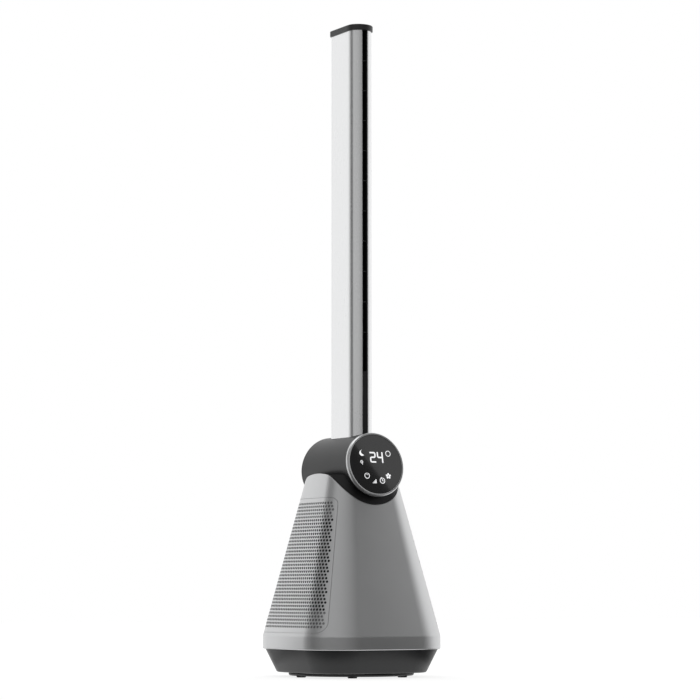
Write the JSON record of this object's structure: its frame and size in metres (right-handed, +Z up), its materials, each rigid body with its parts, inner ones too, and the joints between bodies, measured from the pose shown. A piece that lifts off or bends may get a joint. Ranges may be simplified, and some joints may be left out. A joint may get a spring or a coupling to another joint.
{
  "type": "bladeless fan",
  "caption": "Bladeless tower fan: tapered base with side intake grilles, level barrel with a round touch display, tall hollow column with a front air slot; it swings on a round foot.",
  "frame": {"origin": "on the floor, under the middle of the base", "axes": "+Z up, the display and the air slot face -Y, +X to the viewer's right when facing the display"},
  "size_m": [0.2308, 0.2308, 0.9663],
  "materials": {
    "silver_plastic": "satin silver paint with a fine metallic grain",
    "column_aluminium": "fine satin silver",
    "dark_plastic": "satin dark grey",
    "black_plastic": "matte black",
    "dark_glass": "polished black",
    "legend_white": "lit white",
    "housing_plastic": "matte grey",
    "white_acetal": "smooth natural white",
    "impeller_plastic": "matte grey",
    "zinc_steel": "zinc plated",
    "bearing_steel": "ground",
    "copper_winding": "lacquered copper",
    "circuit_board": "green solder mask",
    "rubber": "matte"
  },
  "bodies": {
    "foot": {"foot_plate": "dark_plastic", "foot_pads": "rubber", "glide_washer": "white_acetal", "pivot_retainer": "zinc_steel", "swing_gear": "white_acetal", "retainer_screws": "zinc_steel"},
    "tower": {"lower_pan": "dark_plastic", "base_shell": "silver_plastic", "grille_left": "silver_plastic", "grille_right": "silver_plastic", "base_screws": "zinc_steel", "cord_inlet": "rubber", "power_board": "circuit_board", "board_screws": "zinc_steel", "swing_bracket": "zinc_steel", "swing_motor": "zinc_steel", "bracket_screws": "zinc_steel", "fan_housing": "housing_plastic", "intake_ring": "housing_plastic", "housing_screws": "zinc_steel", "diffuser": "housing_plastic", "motor_stator": "copper_winding", "motor_cover": "zinc_steel", "lower_bearing": "bearing_steel", "upper_bearing": "bearing_steel", "motor_nose": "housing_plastic", "duct_gasket": "rubber", "riser_duct": "housing_plastic", "barrel_cradle": "dark_plastic", "barrel_shell": "dark_plastic", "barrel_rear_cap": "dark_plastic", "barrel_screws": "zinc_steel", "column_neck": "black_plastic", "column_shell": "column_aluminium", "outlet_strip": "black_plastic", "column_cap": "dark_plastic", "display_ring": "silver_plastic", "display_glass": "dark_glass", "display_legend": "legend_white", "display_board": "circuit_board", "display_carrier": "dark_plastic"},
    "impeller": {"impeller": "impeller_plastic", "motor_rotor": "zinc_steel", "motor_shaft": "bearing_steel", "impeller_nut": "zinc_steel"},
    "pinion": {"swing_pinion": "white_acetal"}
  },
  "joints": [
    {"name": "tower_swing", "type": "hinge", "parent": "foot", "child": "tower", "pos_m": [0, 0, 0.01], "axis": [0, 0, 1], "range_deg": [-40, 40]},
    {"name": "impeller_spin", "type": "hinge", "parent": "tower", "child": "impeller", "pos_m": [0, 0, 0.12], "axis": [0, 0, 1], "continuous": true},
    {"name": "pinion_spin", "type": "hinge", "parent": "tower", "child": "pinion", "pos_m": [0, 0.036, 0.02], "axis": [0, 0, 1], "range_deg": [-80, 80]}
  ],
  "couplings": [
    {"joint": "pinion_spin", "follows": "tower_swing", "ratio": 2}
  ]
}
